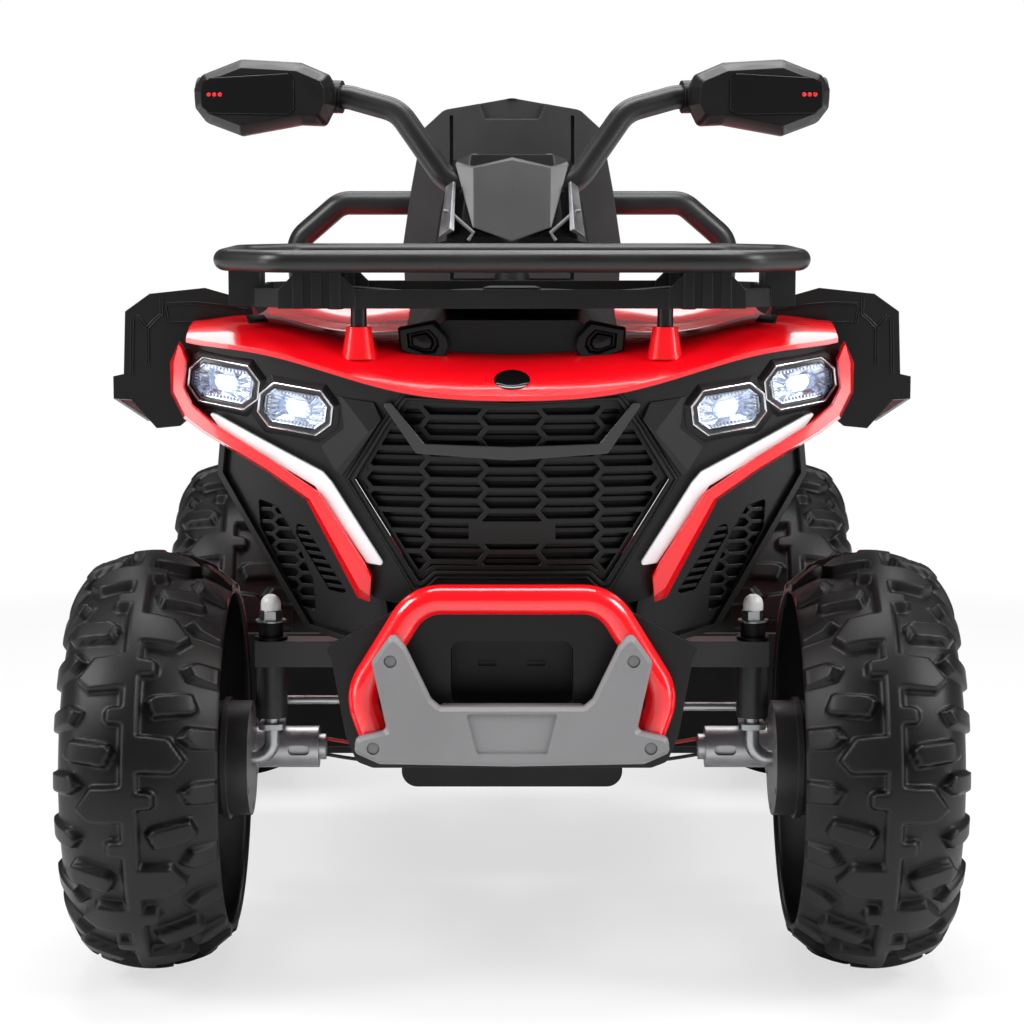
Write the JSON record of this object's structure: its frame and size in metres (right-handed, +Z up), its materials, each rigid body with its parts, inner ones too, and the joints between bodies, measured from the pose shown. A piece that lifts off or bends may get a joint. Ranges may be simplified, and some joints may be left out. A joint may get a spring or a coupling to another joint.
{
  "type": "kids quad bike",
  "caption": "Battery-driven ride-on quad for a child, with lugged hollow tyres, tie-rod steering, a sprung rear axle, a front rack, a bumper and a backrest.",
  "frame": {"origin": "on the floor, midway between the four wheels", "axes": "+Z up, the front faces -Y, +X is the rider's left"},
  "size_m": [0.742, 1.0958, 0.7779],
  "materials": {
    "red_body": "glossy moulded-in red",
    "black_plastic": "fine grain",
    "black_tube": "smooth satin",
    "gloss_black": "polished",
    "grey_plastic": "satin grey paint",
    "silver_plastic": "silver paint",
    "white_lamp": "milky diffuser",
    "clear_lens": "clear moulded",
    "bright_cup": "vacuum plated",
    "red_lens": "clear red",
    "black_steel": "black powder coat",
    "bare_steel": "zinc plated",
    "bush_plastic": "moulded nylon",
    "drive_case": "moulded nylon case with a steel motor can",
    "battery_case": "moulded case",
    "soft_rubber": "soft grip",
    "tyre_black": "moulded tread",
    "rim_plastic": "satin"
  },
  "bodies": {
    "chassis": {"front_axle_beam": "black_steel", "steering_bushes": "bush_plastic", "front_fascia": "black_plastic", "grille": "black_plastic", "grille_bar": "gloss_black", "side_ducts": "black_plastic", "headlight_housings": "bright_cup", "headlight_lenses": "clear_lens", "light_bars": "white_lamp", "fascia_trims": "red_body", "hood": "red_body", "tank_cover": "black_plastic", "front_rack_rail": "black_tube", "front_rack_tray": "black_plastic", "bumper_bracket": "black_plastic", "bumper_tube": "red_body", "bumper_skid": "grey_plastic", "frame": "black_steel", "floor_tub": "black_plastic", "battery_pack": "battery_case", "centre_body": "black_plastic", "seat": "black_plastic", "backrest": "black_plastic", "grab_rails": "black_tube", "rear_body": "red_body", "tail_lamps": "red_lens", "front_flares": "black_plastic", "rear_flares": "black_plastic", "footboards": "black_plastic", "side_panels": "red_body", "rear_springs": "bare_steel", "motor_leads_left": "soft_rubber", "motor_leads_right": "soft_rubber"},
    "steering": {"steering_column": "bare_steel", "handlebar": "black_tube", "grips": "soft_rubber", "hand_guards": "black_plastic", "guard_inserts": "gloss_black", "pod_base": "black_plastic", "pod_shield": "grey_plastic", "pod_trims": "silver_plastic"},
    "knuckle_left": {"spindle_left": "bare_steel", "front_drive_left": "drive_case"},
    "knuckle_right": {"spindle_right": "bare_steel", "front_drive_right": "drive_case"},
    "tie_rod_left_body": {"tie_rod_left": "bare_steel"},
    "tie_rod_right_body": {"tie_rod_right": "bare_steel"},
    "rear_arm": {"swing_arm": "bare_steel", "rear_drives": "drive_case"},
    "wheel_front_left": {"tyre_front_left": "tyre_black", "rim_front_left": "rim_plastic"},
    "wheel_front_right": {"tyre_front_right": "tyre_black", "rim_front_right": "rim_plastic"},
    "wheel_rear_left": {"tyre_rear_left": "tyre_black", "rim_rear_left": "rim_plastic"},
    "wheel_rear_right": {"tyre_rear_right": "tyre_black", "rim_rear_right": "rim_plastic"},
    "pedal": {"accelerator_pedal": "soft_rubber"},
    "button_left": {"push_button_left": "black_plastic"},
    "button_right": {"push_button_right": "black_plastic"}
  },
  "joints": [
    {"name": "steer", "type": "hinge", "parent": "chassis", "child": "steering", "pos_m": [0, -0.362, 0.23], "axis": [0, 0.4384, 0.8988], "range_deg": [-26, 26]},
    {"name": "kingpin_left", "type": "hinge", "parent": "chassis", "child": "knuckle_left", "pos_m": [0.205, -0.37, 0.178], "axis": [0, 0, 1], "range_deg": [-22.5, 22.5], "deforming": ["motor_leads_left"]},
    {"name": "tie_rod_left_pivot", "type": "hinge", "parent": "knuckle_left", "child": "tie_rod_left_body", "pos_m": [0.205, -0.325, 0.213], "axis": [0, 0, 1], "range_deg": [-22.5, 22.5]},
    {"name": "wheel_front_left_spin", "type": "hinge", "parent": "knuckle_left", "child": "wheel_front_left", "pos_m": [0.304, -0.37, 0.178], "axis": [1, 0, 0], "continuous": true},
    {"name": "kingpin_right", "type": "hinge", "parent": "chassis", "child": "knuckle_right", "pos_m": [-0.205, -0.37, 0.178], "axis": [0, 0, 1], "range_deg": [-22.5, 22.5], "deforming": ["motor_leads_right"]},
    {"name": "tie_rod_right_pivot", "type": "hinge", "parent": "knuckle_right", "child": "tie_rod_right_body", "pos_m": [-0.205, -0.325, 0.213], "axis": [0, 0, 1], "range_deg": [-22.5, 22.5]},
    {"name": "wheel_front_right_spin", "type": "hinge", "parent": "knuckle_right", "child": "wheel_front_right", "pos_m": [-0.304, -0.37, 0.178], "axis": [1, 0, 0], "continuous": true},
    {"name": "rear_suspension", "type": "hinge", "parent": "chassis", "child": "rear_arm", "pos_m": [0, 0.15, 0.188], "axis": [1, 0, 0], "range_deg": [0, 6], "stiffness_Nm_per_rad": 800, "springref_deg": -4.58, "deforming": ["rear_springs"]},
    {"name": "wheel_rear_left_spin", "type": "hinge", "parent": "rear_arm", "child": "wheel_rear_left", "pos_m": [0.304, 0.37, 0.178], "axis": [1, 0, 0], "continuous": true},
    {"name": "wheel_rear_right_spin", "type": "hinge", "parent": "rear_arm", "child": "wheel_rear_right", "pos_m": [-0.304, 0.37, 0.178], "axis": [1, 0, 0], "continuous": true},
    {"name": "accelerator", "type": "hinge", "parent": "chassis", "child": "pedal", "pos_m": [-0.19, -0.03, 0.151], "axis": [1, 0, 0], "range_deg": [0, 12], "stiffness_Nm_per_rad": 0.6, "springref_deg": -17.19},
    {"name": "button_left_press", "type": "slide", "parent": "steering", "child": "button_left", "axis": [0, -0.4384, -0.8988], "range_m": [0, 0.0025], "stiffness_N_per_m": 400, "springref_m": -0.003},
    {"name": "button_right_press", "type": "slide", "parent": "steering", "child": "button_right", "axis": [0, -0.4384, -0.8988], "range_m": [0, 0.0025], "stiffness_N_per_m": 400, "springref_m": -0.003}
  ],
  "couplings": [
    {"joint": "kingpin_left", "follows": "steer", "ratio": 0.863},
    {"joint": "tie_rod_left_pivot", "follows": "steer", "ratio": -0.863},
    {"joint": "kingpin_right", "follows": "steer", "ratio": 0.863},
    {"joint": "tie_rod_right_pivot", "follows": "steer", "ratio": -0.863}
  ]
}
